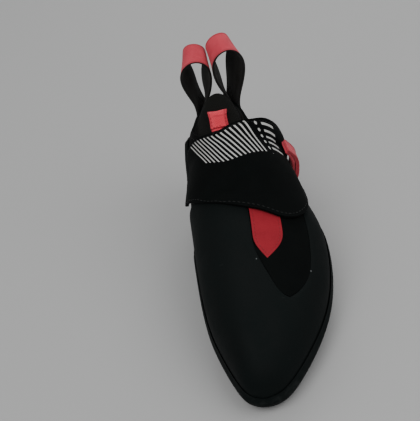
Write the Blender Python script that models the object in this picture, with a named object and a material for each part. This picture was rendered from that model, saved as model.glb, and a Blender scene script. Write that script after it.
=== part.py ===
"""Slip-lasted left climbing shoe, standing empty on toe and heel. Metres, +Z up, toe towards -Y."""

from collections import namedtuple
from math import cos, pi, radians, sin

import bmesh
import bpy
from mathutils import Vector

# Driving sizes of the last.
LENGTH = 0.222  # lasted upper, toe to the back of the heel
BALL_WIDTH = 0.078  # lasted upper at the joints of the toes
HEEL_WIDTH = 0.056
INSTEP_HEIGHT = 0.066  # sets the height of the crown line above the sole line
COLLAR_HEIGHT = 0.088  # back of the collar
ARCH_RISE = 0.022  # how far the arch stands above the toe and the heel

# Layers, from the foot outwards.
INSOLE_THICK = 0.0014
TONGUE_THICK = 0.0016
UPPER_THICK = 0.0018
PANEL_THICK = 0.0007
RAND_THICK = 0.0015
SOLE_THICK = 0.0032
SOLE_EDGE_THICK = 0.0022  # where the sole wraps up the side
HEEL_RUBBER_THICK = 0.0024
STRAP_THICK = 0.0020
CLEARANCE = 0.00035  # between two layers
INSOLE_GAP = 0.0005
EDGE_GAP = 0.0004  # between two pieces that lie side by side
SOLE_FLAT = 0.0008  # how much of the rounded sole is worn flat on the floor
HEEL_FLAT = 0.0009
SHARP_ANGLE = radians(40)

# Webbing of the pull loops and tabs.
WEBBING_WIDTH = 0.0155  # of the pull loops
TAB_WIDTH = 0.0128
WEBBING_THICK = 0.0013
LOOP_HEIGHT = 0.049
LOOP_WIDTH = 0.0155
LOOP_SEWN = 0.011  # how far the loop's ends run down the collar, inside and outside
STRAP_TAB_LENGTH = 0.024
STRAP_TAB_FOLD = 0.0048
STRAP_TAB_SEAT = 0.0020  # above the curved strap, which its flat webbing spans
TONGUE_TAB_FOLD = 0.0046

# One row for each cross-section, from the toe to the top of the tongue. Each lies in a plane from a point on
# the sole line to one on the crown line: upright at the toe, and fanning round to lie flat at the collar.
#   sole: place of the sole line along LENGTH          arch, back: its height, of ARCH_RISE and COLLAR_HEIGHT
#   lean, tall: from there to the crown line, of LENGTH and INSTEP_HEIGHT
#   medial, lateral: half widths, of BALL_WIDTH, or of HEEL_WIDTH as far as heelness says
#   ridge: sideways place of the crown line, of BALL_WIDTH       waist: share of the height where it is widest
#   low, high: roundness of the lower and the upper half, 2 for an ellipse and more for a squarer corner
Section = namedtuple(
    "Section", "sole arch back lean tall medial lateral heelness ridge waist low high"
)
SECTIONS = [
    Section(0.000, 0.42, 0.00, 0.000, 0.00, 0.00, 0.00, 0.0, 0.00, 0.50, 2.0, 2.0),
    Section(0.006, 0.22, 0.00, 0.000, 0.17, 0.07, 0.09, 0.0, 0.00, 0.47, 2.0, 2.0),
    Section(0.023, 0.07, 0.00, -0.002, 0.33, 0.12, 0.16, 0.0, -0.01, 0.44, 2.1, 2.0),
    Section(0.060, 0.00, 0.00, -0.005, 0.455, 0.17, 0.25, 0.0, -0.01, 0.40, 2.3, 2.1),
    Section(0.126, 0.00, 0.00, -0.006, 0.575, 0.24, 0.385, 0.0, -0.02, 0.36, 2.5, 2.1),
    Section(0.207, 0.08, 0.00, -0.009, 0.65, 0.31, 0.52, 0.0, -0.02, 0.33, 2.5, 2.05),
    Section(0.297, 0.32, 0.00, -0.018, 0.68, 0.345, 0.615, 0.0, -0.01, 0.31, 2.5, 2.0),
    Section(0.387, 0.64, 0.00, -0.027, 0.67, 0.36, 0.655, 0.0, 0.00, 0.31, 2.45, 2.0),
    Section(0.477, 0.92, 0.00, -0.040, 0.68, 0.365, 0.65, 0.0, 0.01, 0.33, 2.4, 2.0),
    Section(0.567, 1.00, 0.00, -0.063, 0.775, 0.37, 0.59, 0.0, 0.01, 0.36, 2.3, 2.0),
    Section(0.657, 0.84, 0.00, -0.095, 0.96, 0.41, 0.58, 0.3, 0.01, 0.40, 2.25, 2.0),
    Section(0.743, 0.42, 0.00, -0.137, 1.20, 0.46, 0.56, 0.7, 0.005, 0.42, 2.3, 2.0),
    Section(0.824, 0.02, 0.00, -0.189, 1.39, 0.50, 0.55, 1.0, 0.00, 0.42, 2.8, 2.0),
    Section(0.896, 0.00, 0.00, -0.236, 1.46, 0.50, 0.515, 1.0, 0.00, 0.42, 2.9, 2.15),
    Section(0.955, 0.00, 0.05, -0.279, 1.42, 0.485, 0.47, 1.0, 0.00, 0.44, 2.3, 2.3),
    Section(0.991, 0.00, 0.21, -0.302, 1.25, 0.455, 0.435, 1.0, 0.00, 0.47, 2.2, 2.35),
    Section(1.000, 0.00, 0.40, -0.302, 1.02, 0.41, 0.39, 1.0, 0.00, 0.50, 2.1, 2.25),
    Section(0.989, 0.00, 0.60, -0.286, 0.775, 0.345, 0.34, 1.0, 0.00, 0.50, 2.0, 2.1),
    Section(0.971, 0.00, 0.80, -0.264, 0.525, 0.295, 0.30, 1.0, 0.00, 0.50, 2.0, 2.0),
    Section(0.962, 0.00, 0.97, -0.253, 0.32, 0.285, 0.285, 1.0, 0.00, 0.50, 2.0, 2.0),
    Section(0.960, 0.00, 1.10, -0.251, 0.19, 0.285, 0.285, 1.0, 0.00, 0.50, 2.0, 2.0),
]
LAST_SECTION = len(SECTIONS) - 1
POLE = 0.01  # sections nearer the toe tip than this count as its one point
HEEL_STANDS = (7.0, 11.0)  # sections over which the last passes from the sole's rubber to the heel's

# Columns run round each section: 0 is the sole line, 1 the widest lateral line, 2 the crown line and 3, which
# is also -1, the widest medial line. Every lasted piece uses these columns, so that layers nest.
LOW_STEPS = 7
HIGH_STEPS = 10
COLUMNS = [-1 + i / LOW_STEPS for i in range(2 * LOW_STEPS)]
COLUMNS += [1 + i / HIGH_STEPS for i in range(2 * HIGH_STEPS + 1)]

# Rows run from the toe to the collar: at fixed sections as far as the waist, then evenly to the collar edge.
TOE_ROWS = [0, 0.35, 0.9, 1.5, 2.1, 2.8, 3.5, 4.2, 5, 5.75, 6.5, 7.1, 7.6, 8.1, 8.6, 9.05, 9.5]
WAIST = TOE_ROWS[-1]
COLLAR_ROWS = 17

# Outlines on the last, as (column, section) pairs, with columns counted from the back round to the throat.
COLLAR_LINE = [(0.0, 19.0), (0.5, 18.75), (1.0, 17.8), (1.25, 16.7), (1.5, 15.0), (1.75, 13.3), (2.0, 12.4)]
THROAT = 0.2  # half width of the throat slot, in columns
SOLE_CUT = 3.0 / LOW_STEPS  # half width of the opening under the foot, in columns
SOLE_CUT_ROWS = (2.5, 12.5)
NOTCH_LINE = [(1.4, 5.75), (1.5, 5.15), (1.6, 4.9), (1.7, 5.0), (1.8, 5.65), (1.9, 6.5)]
WINDOW_LINE = [(1.4, 7.6), (1.65, 6.95), (1.7, 6.55), (1.8, 6.15), (1.9, 6.75)]
WINDOW_SIDE = 1.65
HEEL_LINE = [(4 / 7, WAIST), (5 / 7, 10.3), (6 / 7, 11.2), (1.0, 12.1), (1.1, 12.8), (1.2, 13.4), (1.3, 14.0)]
HEEL_RUBBER_ROWS = 14

# How far apart the sections and the columns lie on the vamp, where one panel's edge lies beside another's.
SECTION_PITCH = 0.09  # of LENGTH
COLUMN_PITCH = 0.75  # of BALL_WIDTH
SECTION_GAP = EDGE_GAP / (SECTION_PITCH * LENGTH)
COLUMN_GAP = EDGE_GAP / (COLUMN_PITCH * BALL_WIDTH)

# Where pieces begin and end, as sections, and half widths as columns.
INSOLE_TOE = 1.5
INSOLE_HEEL = 14.2
INSOLE_HALF = 4 / LOW_STEPS
INSOLE_TOE_CURVE = 1.5
INSOLE_HEEL_CURVE = 2.5
TONGUE_ROW = 13  # the shared row where it starts, ahead of the throat
TONGUE_TOP = 16.9
TONGUE_TOP_CURVE = 7
TONGUE_HALF = 0.4
TONGUE_TOP_ROWS = 4
SOLE_END = 9.3
SOLE_END_CURVE = 1.2  # how far forward the end's corners lie
SOLE_SKIVE = 0.5  # share of the sole's thickness left at its arch end
SOLE_SKIVE_LENGTH = 1.2
SOLE_THIN_COLUMNS = (0.55, 1.0)  # over which it thins as it wraps up the side
SOLE_TOE_WRAP = (0.5, 2.5)  # sections over which it thickens from the toe tip
PANEL_END = 9.4
VAMP_ROWS = 4
STRAP_CELLS = 8
STRAP_STEPS_DOWN = (WAIST + 0.1, WAIST + 1.2)  # off the rand's rear edge

# Webbing: stations across its width, and where each piece is sewn.
ACROSS = (-1, -0.5, 0, 0.5, 1)
TONGUE_TAB_TOP = 17.3
TONGUE_TAB_ENDS = (13.4, 13.8)
TONGUE_TAB_REACH = 0.8  # how far its fold turns past the top, in sections
STRAP_TAB_SECTION = 11.2
STRAP_TAB_TOP = 1.39
STRAP_TAB_MIDDLE = 1.25
STRAP_TAB_REACH = 0.05  # in columns
FOLD_STEPS = 7
FOLD_TURNS = 6
FOLD_CLOSES = 0.2  # share of the way back at which the fold starts to close
LOOP_STATIONS = 17
SEWN_STATIONS = (1, 0.66, 0.33)  # of LOOP_SEWN

# Pull loops. height is a share of LOOP_HEIGHT. turn is how far the front edge turns outwards, and splay how far
# the ring leans outwards, both in degrees.
PullLoop = namedtuple("PullLoop", "name side column height turn splay")
PULL_LOOPS = [
    PullLoop("pull_loop_medial", -1, -0.48, 0.98, 0, 0),
    PullLoop("pull_loop_lateral", 1, 0.47, 1.08, 12, 1.5),
]
LOOP_LEAN = radians(15)  # towards the toe
LOOP_TILT = radians(27)  # how far the webbing's width dips towards the toe
LOOP_BELLY = 1.1  # the drop shape: its fullness, and how sharply it narrows to the seat
LOOP_NECK = 1.3
LOOP_FLARE = 0.4  # how much wider than its middle line the outer leg's front edge stands
LOOP_SEAT = 0.3  # share of LOOP_HEIGHT over which the webbing comes free of the collar

# The strap, from its free lateral end to its medial anchor. front and rear are sections, and lift is how far
# its rear edge stands off the ankle, as a share of STRAP_LIFT.
STRAP_LIFT = 0.016
StrapRow = namedtuple("StrapRow", "column front rear lift")
STRAP_ROWS = [
    StrapRow(1.04, 10.5, 11.4, 0.1),
    StrapRow(1.12, 9.8, 12.2, 0.4),
    StrapRow(1.22, 9.0, 12.8, 0.75),
    StrapRow(1.35, 8.2, 13.4, 0.85),
    StrapRow(1.5, 7.7, 14.4, 0.85),
    StrapRow(1.65, 7.6, 14.55, 0.7),
    StrapRow(1.8, 7.9, 13.9, 0.4),
    StrapRow(2.0, 8.2, 12.9, 0.1),
    StrapRow(2.2, 8.5, 13.1, 0.0),
    StrapRow(2.4, 8.85, 13.6, 0.0),
    StrapRow(2.6, 9.3, 13.4, 0.0),
    StrapRow(2.8, 9.8, 12.5, 0.0),
    StrapRow(2.94, 10.15, 11.8, 0.0),
]


def smooth_step(x, low, high):
    t = min(max((x - low) / (high - low), 0.0), 1.0)
    return t * t * (3 - 2 * t)


def mix(a, b, t):
    return a + (b - a) * t


def spline(values, x):
    """The value at x of a smooth curve through values, which stand at 0, 1, 2 and so on."""
    x = min(max(x, 0.0), len(values) - 1.0)
    i = min(int(x), len(values) - 2)
    t = x - i
    p1, p2 = values[i], values[i + 1]
    p0 = values[i - 1] if i > 0 else 2 * p1 - p2
    p3 = values[i + 2] if i + 2 < len(values) else 2 * p2 - p1
    return p1 + 0.5 * t * (p2 - p0 + t * (2 * p0 - 5 * p1 + 4 * p2 - p3 + t * (3 * (p1 - p2) + p3 - p0)))


def along(pairs, x):
    """Straight interpolation in a short table of pairs."""
    if x <= pairs[0][0]:
        return pairs[0][1]
    for (x0, y0), (x1, y1) in zip(pairs, pairs[1:]):
        if x <= x1:
            return mix(y0, y1, (x - x0) / (x1 - x0))
    return pairs[-1][1]


def section_at(s):
    return Section(*(spline([getattr(row, name) for row in SECTIONS], s) for name in Section._fields))


def rubber_under(s):
    """What the last stands on: rand and sole under the toes, heel rubber under the heel."""
    toe = 2 * CLEARANCE + RAND_THICK + SOLE_THICK - SOLE_FLAT
    heel = CLEARANCE + HEEL_RUBBER_THICK - HEEL_FLAT
    return mix(toe, heel, smooth_step(s, *HEEL_STANDS))


def last_point(s, v):
    """A point on the outside of the upper, at section s and column v."""
    row = section_at(s)
    base_y = row.sole * LENGTH
    base_z = rubber_under(s) + row.arch * ARCH_RISE + row.back * COLLAR_HEIGHT
    width = mix(BALL_WIDTH, HEEL_WIDTH, row.heelness)
    medial, lateral = row.medial * width, row.lateral * width
    crown_x = row.ridge * BALL_WIDTH
    sole_x = (lateral - medial) / 2
    v = v % 4
    quarter = int(v)
    angle = (v - quarter) * pi / 2
    rise, run = sin(angle), cos(angle)
    low, high = 2 / row.low, 2 / row.high
    if quarter == 0:
        x = sole_x + (lateral - sole_x) * rise**low
        t = row.waist * (1 - run**low)
    elif quarter == 1:
        x = crown_x + (lateral - crown_x) * run**high
        t = row.waist + (1 - row.waist) * rise**high
    elif quarter == 2:
        x = crown_x - (crown_x + medial) * rise**high
        t = row.waist + (1 - row.waist) * run**high
    else:
        x = sole_x - (sole_x + medial) * run**low
        t = row.waist * (1 - rise**low)
    return Vector((x, base_y + row.lean * LENGTH * t, base_z + row.tall * INSTEP_HEIGHT * t))


def last_normal(s, v):
    if s < POLE:
        return Vector((0, -1, 0))
    step = 0.02
    along_s = last_point(min(s + step, LAST_SECTION), v) - last_point(s - min(step, s / 2), v)
    along_v = last_point(s, v + step) - last_point(s, v - step)
    return along_s.cross(along_v).normalized()


def lasted(s, v, height):
    return last_point(s, v) + last_normal(s, v) * height


def from_back(v):
    """Column v counted from the sole line round to the crown, on either side."""
    v = v % 4
    return min(v, 4 - v)


def collar_line(v):
    return along(COLLAR_LINE, from_back(v))


def row_section(row, v):
    if row < len(TOE_ROWS):
        return TOE_ROWS[row]
    return mix(WAIST, collar_line(v), (row - len(TOE_ROWS) + 1) / COLLAR_ROWS)


def columns_between(first, last):
    """The shared columns from first to last, with both ends."""
    turns = {round(v - turn, 6) for v in COLUMNS for turn in (0, 4)}
    return [first, *sorted(v for v in turns if first + 1e-4 < v < last - 1e-4), last]


def make_material(name, colour, roughness):
    material = bpy.data.materials.new(name)
    material.use_nodes = True
    shader = material.node_tree.nodes["Principled BSDF"]
    shader.inputs["Base Color"].default_value = (*colour, 1)
    shader.inputs["Roughness"].default_value = roughness
    return material


def make_object(name, bm, material, root):
    mesh = bpy.data.meshes.new(name)
    bm.to_mesh(mesh)
    bm.free()
    mesh.shade_smooth()
    mesh.set_sharp_from_angle(angle=SHARP_ANGLE)
    mesh.materials.append(material)
    obj = bpy.data.objects.new(name, mesh)
    obj.parent = root
    bpy.context.scene.collection.objects.link(obj)
    return obj


def shell(columns, rows, section, keep, inner, outer):
    """A wall over the last between the heights inner(s, v) and outer(s, v), closed along its edges.

    section(row, v, middle) gives the section of a row at column v, for the strip whose middle is given, and
    keep(s, middle) says whether the cell that starts there is part of the piece.
    """
    bm = bmesh.new()
    corners = {}
    uses = set()

    def corner(s, v):
        key = "pole" if s < POLE else (round(s, 4), round(v % 4, 4))
        if key not in corners:
            outside = lasted(s, v, outer(s, v))
            outside.z = max(outside.z, 0.0)
            corners[key] = (bm.verts.new(outside), bm.verts.new(lasted(s, v, inner(s, v))))
        return key

    for v0, v1 in zip(columns, columns[1:]):
        middle = (v0 + v1) / 2
        for row in range(rows - 1):
            if not keep(section(row, middle, middle), middle):
                continue
            ring = [(row, v0), (row, v1), (row + 1, v1), (row + 1, v0)]
            ring = [corner(section(i, v, middle), v) for i, v in ring]
            ring = [key for i, key in enumerate(ring) if key != ring[i - 1]]
            if len(ring) < 3:
                continue
            bm.faces.new([corners[key][0] for key in ring])
            bm.faces.new([corners[key][1] for key in reversed(ring)])
            uses.update(zip(ring, ring[1:] + ring[:1]))
    for a, b in sorted(uses, key=str):
        if (b, a) not in uses:
            bm.faces.new([corners[b][0], corners[a][0], corners[a][1], corners[b][1]])
    bmesh.ops.recalc_face_normals(bm, faces=bm.faces[:])
    return bm


def ribbon(outside, inside):
    """A closed band from two equal grids of points, each a list of rows."""
    bm = bmesh.new()
    outside, inside = ([[bm.verts.new(point) for point in row] for row in grid] for grid in (outside, inside))
    rows, columns = len(outside), len(outside[0])
    for i in range(rows - 1):
        for j in range(columns - 1):
            for grid in (outside, inside):
                bm.faces.new([grid[i][j], grid[i][j + 1], grid[i + 1][j + 1], grid[i + 1][j]])
        for j in (0, columns - 1):
            bm.faces.new([outside[i][j], outside[i + 1][j], inside[i + 1][j], inside[i][j]])
    for i in (0, rows - 1):
        for j in range(columns - 1):
            bm.faces.new([outside[i][j], outside[i][j + 1], inside[i][j + 1], inside[i][j]])
    bmesh.ops.recalc_face_normals(bm, faces=bm.faces[:])
    return bm


def constant(value):
    return lambda *_: value


def whole(s, middle):
    return True


def cut_rows(low, high):
    """The shared rows, cut off at the sections low(v, middle) and high(v, middle)."""
    return lambda row, v, middle: min(max(row_section(row, v), low(v, middle)), high(v, middle))


def even_rows(low, high, rows):
    return lambda row, v, middle: mix(low(v), high(v), row / (rows - 1))


def build_upper(material, root):
    def keep(s, middle):
        in_throat = abs(middle - 2) < THROAT and s >= WAIST
        under_foot = from_back(middle) < SOLE_CUT and SOLE_CUT_ROWS[0] <= s < SOLE_CUT_ROWS[1]
        return not (in_throat or under_foot)

    section = cut_rows(constant(0), constant(LAST_SECTION))
    rows = len(TOE_ROWS) + COLLAR_ROWS
    bm = shell(COLUMNS, rows, section, keep, constant(-UPPER_THICK), constant(0))
    return make_object("upper", bm, material, root)


def build_insole(material, root):
    top = -UPPER_THICK - INSOLE_GAP

    def toe_end(v, middle):
        return INSOLE_TOE + INSOLE_TOE_CURVE * v * v

    def heel_end(v, middle):
        return INSOLE_HEEL - INSOLE_HEEL_CURVE * v * v

    rows = len(TOE_ROWS) + COLLAR_ROWS
    columns = columns_between(-INSOLE_HALF, INSOLE_HALF)
    section = cut_rows(toe_end, heel_end)
    bm = shell(columns, rows, section, whole, constant(top - INSOLE_THICK), constant(top))
    return make_object("insole", bm, material, root)


def build_tongue(material, root):
    outside = -UPPER_THICK - CLEARANCE
    shared = len(TOE_ROWS) + COLLAR_ROWS - TONGUE_ROW

    def section(row, v, middle):
        if row < shared:
            return row_section(TONGUE_ROW + row, v)
        top = TONGUE_TOP - TONGUE_TOP_CURVE * (v - 2) ** 2
        return mix(collar_line(v), top, (row - shared + 1) / TONGUE_TOP_ROWS)

    rows = shared + TONGUE_TOP_ROWS
    columns = columns_between(2 - TONGUE_HALF, 2 + TONGUE_HALF)
    bm = shell(columns, rows, section, whole, constant(outside - TONGUE_THICK), constant(outside))
    return make_object("tongue", bm, material, root)


def in_notch(middle):
    return NOTCH_LINE[0][0] < middle < NOTCH_LINE[-1][0]


def build_toe_rand(material, root):
    def high(v, middle):
        return along(NOTCH_LINE, v) if in_notch(middle) else WAIST

    section = cut_rows(constant(0), high)
    bm = shell(COLUMNS, len(TOE_ROWS), section, whole, constant(CLEARANCE), constant(CLEARANCE + RAND_THICK))
    return make_object("toe_rand", bm, material, root)


def build_outsole(material, root):
    inner = 2 * CLEARANCE + RAND_THICK

    def outer(s, v):
        edge = max(smooth_step(from_back(v), *SOLE_THIN_COLUMNS), 1 - smooth_step(s, *SOLE_TOE_WRAP))
        skived = mix(1.0, SOLE_SKIVE, smooth_step(s, SOLE_END - SOLE_SKIVE_LENGTH, SOLE_END))
        return inner + mix(SOLE_THICK, SOLE_EDGE_THICK, edge) * skived

    def arch_end(v, middle):
        return SOLE_END - SOLE_END_CURVE * v * v

    section = cut_rows(constant(0), arch_end)
    bm = shell(columns_between(-1, 1), len(TOE_ROWS), section, whole, constant(inner), outer)
    return make_object("outsole", bm, material, root)


def build_heel_rand(material, root):
    def front(v, middle):
        return along(HEEL_LINE, from_back(v)) + SECTION_GAP

    def keep(s, middle):
        return s >= WAIST

    side = HEEL_LINE[-1][0]
    section = cut_rows(front, constant(LAST_SECTION))
    rows = len(TOE_ROWS) + HEEL_RUBBER_ROWS
    outer = constant(CLEARANCE + HEEL_RUBBER_THICK)
    bm = shell(columns_between(-side, side), rows, section, keep, constant(CLEARANCE), outer)
    return make_object("heel_rand", bm, material, root)


def build_vamp_panel(material, root):
    def section(row, v, middle):
        notch, window = along(NOTCH_LINE, v) + SECTION_GAP, along(WINDOW_LINE, v) - SECTION_GAP
        if row <= VAMP_ROWS:
            return mix(notch, window, row / VAMP_ROWS)
        return mix(window, PANEL_END, (row - VAMP_ROWS) / VAMP_ROWS)

    def keep(s, middle):
        return middle < WINDOW_SIDE or s < along(WINDOW_LINE, middle) - 2 * SECTION_GAP

    columns = columns_between(NOTCH_LINE[0][0] + COLUMN_GAP, WINDOW_SIDE)
    columns += columns_between(WINDOW_SIDE, NOTCH_LINE[-1][0] - COLUMN_GAP)[1:]
    outer = constant(CLEARANCE + PANEL_THICK)
    bm = shell(columns, 2 * VAMP_ROWS + 1, section, keep, constant(CLEARANCE), outer)
    return make_object("vamp_panel", bm, material, root)


def build_window_panel(material, root):
    section = even_rows(lambda v: along(WINDOW_LINE, v), constant(PANEL_END), 2 * VAMP_ROWS)
    columns = columns_between(WINDOW_SIDE + COLUMN_GAP, NOTCH_LINE[-1][0] - COLUMN_GAP)
    outer = constant(CLEARANCE + PANEL_THICK)
    bm = shell(columns, 2 * VAMP_ROWS, section, whole, constant(CLEARANCE), outer)
    return make_object("window_panel", bm, material, root)


def strap_at(v):
    place = along([(row.column, i) for i, row in enumerate(STRAP_ROWS)], v)
    return StrapRow(*(spline([getattr(row, name) for row in STRAP_ROWS], place) for name in StrapRow._fields))


def strap_inside(s, v):
    """The strap lies over the rand in front and on the upper behind. Its rear lateral corner stands off."""
    row = strap_at(v)
    over_rand = 2 * CLEARANCE + RAND_THICK
    rear = smooth_step(s, row.front, row.rear)
    on_shoe = mix(over_rand, 2 * CLEARANCE, smooth_step(s, *STRAP_STEPS_DOWN))
    return on_shoe + STRAP_LIFT * row.lift * rear


def strap_outside(s, v):
    return strap_inside(s, v) + STRAP_THICK


def build_strap(material, root):
    ends = range(len(STRAP_ROWS) - 1)
    columns = [mix(STRAP_ROWS[i].column, STRAP_ROWS[i + 1].column, t) for i in ends for t in (0, 0.5)]
    columns.append(STRAP_ROWS[-1].column)
    section = even_rows(lambda v: strap_at(v).front, lambda v: strap_at(v).rear, STRAP_CELLS + 1)
    bm = shell(columns, STRAP_CELLS + 1, section, whole, strap_inside, strap_outside)
    return make_object("strap", bm, material, root)


def column_width(s, v):
    """How many metres one column stands for."""
    return (last_point(s, v + 0.1) - last_point(s, v - 0.1)).length / 0.2


def band(name, grid, material, root):
    """Webbing about a grid of points, each row of them across its width."""
    outside, inside = [], []
    for i, row in enumerate(grid):
        before, after = grid[max(i - 1, 0)], grid[min(i + 1, len(grid) - 1)]
        outside.append([])
        inside.append([])
        for j, point in enumerate(row):
            across = row[min(j + 1, len(row) - 1)] - row[max(j - 1, 0)]
            out = (after[j] - before[j]).cross(across).normalized() * WEBBING_THICK / 2
            outside[-1].append(point + out)
            inside[-1].append(point - out)
    return make_object(name, ribbon(outside, inside), material, root)


def fold(start, end, lower, upper, top, reach):
    """A strip's path as (place, height) pairs: from start, round the top, and back to lie on itself at end."""
    path = [(mix(start, top, i / FOLD_STEPS), lower) for i in range(FOLD_STEPS + 1)]
    for i in range(1, FOLD_TURNS):
        turn = i / FOLD_TURNS * pi
        path.append((top + reach * sin(turn), mix(lower, upper, (1 - cos(turn)) / 2)))
    closed = lower + WEBBING_THICK + CLEARANCE
    for i in range(FOLD_STEPS + 1):
        t = i / FOLD_STEPS
        path.append((mix(top, end, t), mix(upper, closed, smooth_step(t, FOLD_CLOSES, 1))))
    return path


def build_tongue_tab(material, root):
    lower = -UPPER_THICK + CLEARANCE + WEBBING_THICK / 2
    start, end = TONGUE_TAB_ENDS
    path = fold(start, end, lower, lower + TONGUE_TAB_FOLD, TONGUE_TAB_TOP, TONGUE_TAB_REACH)
    grid = []
    for s, height in path:
        half = TAB_WIDTH / 2 / column_width(s, 2)
        grid.append([lasted(s, 2 + half * k, height) for k in ACROSS])
    return band("tongue_tab", grid, material, root)


def build_strap_pull_tab(material, root):
    lower = STRAP_TAB_SEAT + WEBBING_THICK / 2
    s = STRAP_TAB_SECTION
    one_section = last_point(s + 0.5, STRAP_TAB_MIDDLE) - last_point(s - 0.5, STRAP_TAB_MIDDLE)
    half = TAB_WIDTH / 2 / one_section.length
    low_end = STRAP_TAB_TOP - STRAP_TAB_LENGTH / column_width(s, STRAP_TAB_MIDDLE)
    path = fold(STRAP_TAB_TOP, STRAP_TAB_TOP, lower, lower + STRAP_TAB_FOLD, low_end, -STRAP_TAB_REACH)
    grid = []
    for v, height in path:
        grid.append([])
        for k in ACROSS:
            place = s - half * k
            grid[-1].append(lasted(place, v, strap_outside(place, v) + height))
    return band("strap_pull_tab", grid, material, root)


def build_pull_loop(loop, material, root):
    """The ends straddle the collar's wall, and between them the webbing rises as a drop-shaped ring."""
    edge = collar_line(loop.column)
    half = WEBBING_WIDTH / 2 / column_width(edge, loop.column)
    section_length = (last_point(edge, loop.column) - last_point(edge - 0.5, loop.column)).length / 0.5
    out_gap = CLEARANCE + WEBBING_THICK / 2
    in_gap = -UPPER_THICK - out_gap
    height = LOOP_HEIGHT * loop.height
    columns = [loop.column + half * k for k in ACROSS]
    rims = [last_point(collar_line(v), v) for v in columns]
    middle = rims[len(rims) // 2]
    turned = radians(loop.turn)
    out_free = Vector((loop.side * cos(turned), sin(turned), 0))
    front_free = Vector((loop.side * sin(turned), -cos(turned) * cos(LOOP_TILT), -sin(LOOP_TILT)))
    up_free = Vector((loop.side * sin(radians(loop.splay)), -sin(LOOP_LEAN), cos(LOOP_LEAN)))

    def sewn(depth, gap):
        return [lasted(collar_line(v) - depth / section_length, v, gap) for v in columns]

    def free(t):
        turn = pi * t
        rise = height * sin(turn)
        out = LOOP_BELLY * LOOP_WIDTH * cos(turn) * sin(turn) ** LOOP_NECK + mix(out_gap, in_gap, t)
        loose = smooth_step(rise, 0, LOOP_SEAT * LOOP_HEIGHT)
        row = []
        for k, v, rim in zip(ACROSS, columns, rims):
            base = rim.lerp(middle + front_free * loop.side * WEBBING_WIDTH / 2 * k, loose)
            normal = last_normal(collar_line(v), v).lerp(out_free, loose)
            spread = 1 + LOOP_FLARE * loop.side * k * loose * smooth_step(cos(turn), 0, 1)
            row.append(base + normal * out * spread + up_free * rise)
        return row

    grid = [sewn(LOOP_SEWN * part, out_gap) for part in SEWN_STATIONS]
    grid += [free(i / LOOP_STATIONS) for i in range(LOOP_STATIONS + 1)]
    grid += [sewn(LOOP_SEWN * part, in_gap) for part in reversed(SEWN_STATIONS)]
    return band(loop.name, grid, material, root)


def main():
    for obj in list(bpy.data.objects):
        bpy.data.objects.remove(obj)
    root = bpy.data.objects.new("climbing_shoe", None)
    bpy.context.scene.collection.objects.link(root)

    microfibre = make_material("black_microfibre", (0.010, 0.011, 0.012), 0.85)
    lining = make_material("black_lining", (0.012, 0.012, 0.013), 0.95)
    rubber = make_material("black_rubber", (0.012, 0.015, 0.016), 0.6)
    coral = make_material("coral_microfibre", (0.62, 0.07, 0.08), 0.7)
    webbing = make_material("coral_webbing", (0.75, 0.10, 0.12), 0.75)

    pieces = [
        build_upper(microfibre, root),
        build_insole(lining, root),
        build_tongue(lining, root),
        build_toe_rand(rubber, root),
        build_outsole(rubber, root),
        build_heel_rand(rubber, root),
        build_vamp_panel(microfibre, root),
        build_window_panel(coral, root),
        build_strap(microfibre, root),
        build_tongue_tab(webbing, root),
        build_strap_pull_tab(webbing, root),
    ]
    pieces += [build_pull_loop(loop, webbing, root) for loop in PULL_LOOPS]

    # The origin goes under the middle of the shoe, on the floor.
    points = [vert.co for obj in pieces for vert in obj.data.vertices]
    middle_x = (min(p.x for p in points) + max(p.x for p in points)) / 2
    middle_y = (min(p.y for p in points) + max(p.y for p in points)) / 2
    root.location = (-middle_x, -middle_y, 0)


main()
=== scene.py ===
import heapq
import math

import bmesh
import bpy
from mathutils import Matrix, Vector
from mathutils.bvhtree import BVHTree
from mathutils.kdtree import KDTree


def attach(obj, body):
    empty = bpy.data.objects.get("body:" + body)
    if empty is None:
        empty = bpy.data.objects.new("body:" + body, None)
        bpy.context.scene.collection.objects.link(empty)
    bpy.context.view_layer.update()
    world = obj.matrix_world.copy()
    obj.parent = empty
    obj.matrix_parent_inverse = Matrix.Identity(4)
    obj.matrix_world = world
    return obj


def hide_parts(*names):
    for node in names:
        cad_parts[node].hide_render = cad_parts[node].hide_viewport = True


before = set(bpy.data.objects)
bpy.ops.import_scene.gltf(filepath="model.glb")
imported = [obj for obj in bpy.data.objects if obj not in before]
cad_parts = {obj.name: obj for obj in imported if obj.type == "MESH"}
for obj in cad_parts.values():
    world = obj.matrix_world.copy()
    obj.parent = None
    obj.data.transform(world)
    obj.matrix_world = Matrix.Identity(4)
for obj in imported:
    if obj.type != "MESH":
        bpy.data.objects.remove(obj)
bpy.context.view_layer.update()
print("frame loaded:", len(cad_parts), "nodes")

# camera, floor and light
studio = {
    "cameraPlace": (-0.0007, -0.3859, 0.3461),
    "azimuth": 3.84,  # degrees round from looking along +Y
    "elevation": 36.04,
    "roll": -12.43,
    "lens": 65.05,
    "floorColor": (0.385, 0.385, 0.382),
    "floorSize": 6.0,
    "airColor": (0.80, 0.81, 0.82),
    "airStrength": 0.55,
    # name, place, size, watts
    "lights": (
        ("keyLight", (-0.5, -0.9, 1.5), 1.2, 16),
        ("fillLight", (0.9, -0.5, 1.1), 1.2, 8),
        ("rearLight", (0.2, 1.2, 1.0), 1.0, 7),
    ),
}


def newMaterial(name, roughness):
    material = bpy.data.materials.new(name)
    material.use_nodes = True
    shader = material.node_tree.nodes["Principled BSDF"]
    shader.inputs["Roughness"].default_value = roughness
    return material, material.node_tree, shader


def newPiece(name, bm):
    mesh = bpy.data.meshes.new(name)
    bm.to_mesh(mesh)
    bm.free()
    piece = bpy.data.objects.new(name, mesh)
    bpy.context.scene.collection.objects.link(piece)
    return piece


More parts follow.
